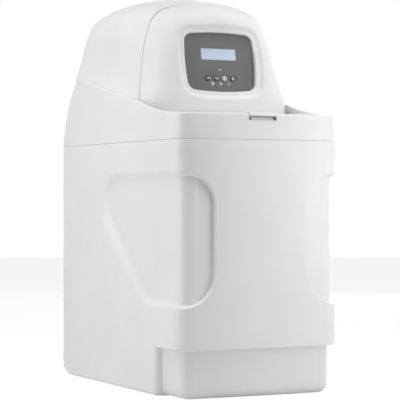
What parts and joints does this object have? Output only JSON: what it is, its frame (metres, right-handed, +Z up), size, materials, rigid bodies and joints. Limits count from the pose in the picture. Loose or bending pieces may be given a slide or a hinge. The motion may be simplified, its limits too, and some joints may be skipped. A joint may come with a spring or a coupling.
{
  "type": "water softener",
  "caption": "Compact cabinet water softener: moulded brine cabinet with side recesses, domed cover with a leaning display hood, hinged salt lid, control valve, resin tank and bypass.",
  "frame": {"origin": "on the floor, at the middle of the footprint", "axes": "+Z up, front (display and salt lid) towards -Y, +X to the viewer's right"},
  "size_m": [0.27, 0.48, 0.616],
  "materials": {
    "cabinet_white": "satin moulded",
    "cover_white": "satin moulded",
    "hood_white": "satin moulded",
    "lid_white": "satin moulded",
    "panel_grey": "fine matt",
    "display_blue": "clear over pale blue",
    "lamp_lens": "frosted",
    "key_dark": "soft matt",
    "key_white": "gloss",
    "module_grey": "tinned frame",
    "board_green": "solder mask",
    "switch_black": "matt",
    "zinc_steel": "zinc plated",
    "socket_black": "matt",
    "tank_shell": "wound fibre shell",
    "base_black": "matt",
    "resin_amber": "fine beads",
    "pipe_white": "extruded",
    "basket_grey": "moulded",
    "valve_black": "glass filled",
    "piston_teal": "low friction coat",
    "seal_rubber": "soft",
    "fitting_grey": "moulded",
    "bracket_grey": "moulded",
    "motor_can": "plated can",
    "gear_nylon": "natural nylon",
    "turbine_white": "moulded",
    "knob_red": "moulded",
    "nut_black": "moulded",
    "hose_black": "smooth tube",
    "cap_white": "moulded",
    "float_white": "foam",
    "ball_blue": "smooth",
    "platform_white": "moulded"
  },
  "bodies": {
    "base": {"brine_cabinet": "cabinet_white", "bracket_screws": "zinc_steel", "resin_tank": "tank_shell", "tank_base_ring": "base_black", "resin_bed": "resin_amber", "riser_tube": "pipe_white", "lower_basket": "basket_grey", "upper_basket": "basket_grey", "valve_body": "valve_black", "piston_cap": "valve_black", "seal_stack": "seal_rubber", "injector_cap": "valve_black", "drain_elbow": "fitting_grey", "drive_bracket": "bracket_grey", "drive_motor": "motor_can", "idler_axle": "zinc_steel", "meter_axle": "zinc_steel", "bypass_body": "valve_black", "inlet_tail": "fitting_grey", "outlet_tail": "fitting_grey", "coupling_nuts": "nut_black", "brine_line": "hose_black", "brine_valve": "fitting_grey", "brine_well": "pipe_white", "brine_well_cap": "cap_white", "pickup_tube": "pipe_white", "air_check_cage": "basket_grey", "salt_platform": "platform_white", "overflow_elbow": "fitting_grey", "overflow_nut": "nut_black"},
    "cover": {"top_cover": "cover_white", "hood_front": "hood_white", "display_panel": "panel_grey", "lcd_window": "display_blue", "status_lens": "lamp_lens", "lcd_module": "module_grey", "controller_board": "board_green", "key_switches": "switch_black", "board_screws": "zinc_steel", "hood_screws": "zinc_steel", "lid_hinge_pins": "zinc_steel", "power_inlet": "socket_black"},
    "lid": {"salt_lid": "lid_white"},
    "key_up": {"up_button": "key_dark"},
    "key_down": {"down_button": "key_dark"},
    "key_ok": {"ok_button": "key_white"},
    "key_menu": {"menu_button": "key_dark"},
    "drive_cap": {"main_gear": "gear_nylon"},
    "idler": {"idler_gear": "gear_nylon"},
    "pinion": {"motor_pinion": "gear_nylon"},
    "valve_piston": {"piston": "piston_teal"},
    "turbine": {"meter_turbine": "turbine_white"},
    "inlet_valve": {"inlet_knob": "knob_red"},
    "outlet_valve": {"outlet_knob": "knob_red"},
    "float": {"brine_float": "float_white", "float_rod": "fitting_grey"},
    "check_ball": {"air_check_ball": "ball_blue"}
  },
  "joints": [
    {"name": "cover_lift", "type": "slide", "parent": "base", "child": "cover", "axis": [0, 0, 1], "range_m": [0, 0.24]},
    {"name": "lid_hinge", "type": "hinge", "parent": "cover", "child": "lid", "pos_m": [0, -0.124, 0.411], "axis": [-1, 0, 0], "range_deg": [0, 85]},
    {"name": "up_press", "type": "slide", "parent": "cover", "child": "key_up", "axis": [0, 0.9839, -0.1788], "range_m": [0, 0.0009], "stiffness_N_per_m": 400, "springref_m": -0.0005},
    {"name": "down_press", "type": "slide", "parent": "cover", "child": "key_down", "axis": [0, 0.9839, -0.1788], "range_m": [0, 0.0009], "stiffness_N_per_m": 400, "springref_m": -0.0005},
    {"name": "ok_press", "type": "slide", "parent": "cover", "child": "key_ok", "axis": [0, 0.9839, -0.1788], "range_m": [0, 0.0009], "stiffness_N_per_m": 400, "springref_m": -0.0005},
    {"name": "menu_press", "type": "slide", "parent": "cover", "child": "key_menu", "axis": [0, 0.9839, -0.1788], "range_m": [0, 0.0009], "stiffness_N_per_m": 400, "springref_m": -0.0005},
    {"name": "gear_turn", "type": "hinge", "parent": "base", "child": "drive_cap", "pos_m": [0, 0.0435, 0.49], "axis": [0, 1, 0], "range_deg": [0, 1080]},
    {"name": "idler_turn", "type": "hinge", "parent": "base", "child": "idler", "pos_m": [-0.03611, 0.0435, 0.53792], "axis": [0, 1, 0], "range_deg": [-1800, 0]},
    {"name": "pinion_turn", "type": "hinge", "parent": "base", "child": "pinion", "pos_m": [-0.06007, 0.0435, 0.51986], "axis": [0, 1, 0], "range_deg": [0, 5400]},
    {"name": "piston_slide", "type": "slide", "parent": "base", "child": "valve_piston", "axis": [0, 1, 0], "range_m": [0, 0.024]},
    {"name": "turbine_spin", "type": "hinge", "parent": "base", "child": "turbine", "pos_m": [-0.038, 0.1565, 0.455], "axis": [0, 1, 0], "continuous": true},
    {"name": "inlet_turn", "type": "hinge", "parent": "base", "child": "inlet_valve", "pos_m": [0.038, 0.1873, 0.47], "axis": [0, 0, 1], "range_deg": [0, 90]},
    {"name": "outlet_turn", "type": "hinge", "parent": "base", "child": "outlet_valve", "pos_m": [-0.038, 0.1873, 0.47], "axis": [0, 0, 1], "range_deg": [0, 90]},
    {"name": "float_rise", "type": "slide", "parent": "base", "child": "float", "axis": [0, 0, 1], "range_m": [0, 0.018]},
    {"name": "ball_rise", "type": "slide", "parent": "base", "child": "check_ball", "axis": [0, 0, 1], "range_m": [0, 0.008]}
  ],
  "couplings": [
    {"joint": "idler_turn", "follows": "gear_turn", "ratio": -1.6667},
    {"joint": "pinion_turn", "follows": "gear_turn", "ratio": 5},
    {"joint": "piston_slide", "follows": "gear_turn", "m_per_rad": 0.0012732}
  ]
}
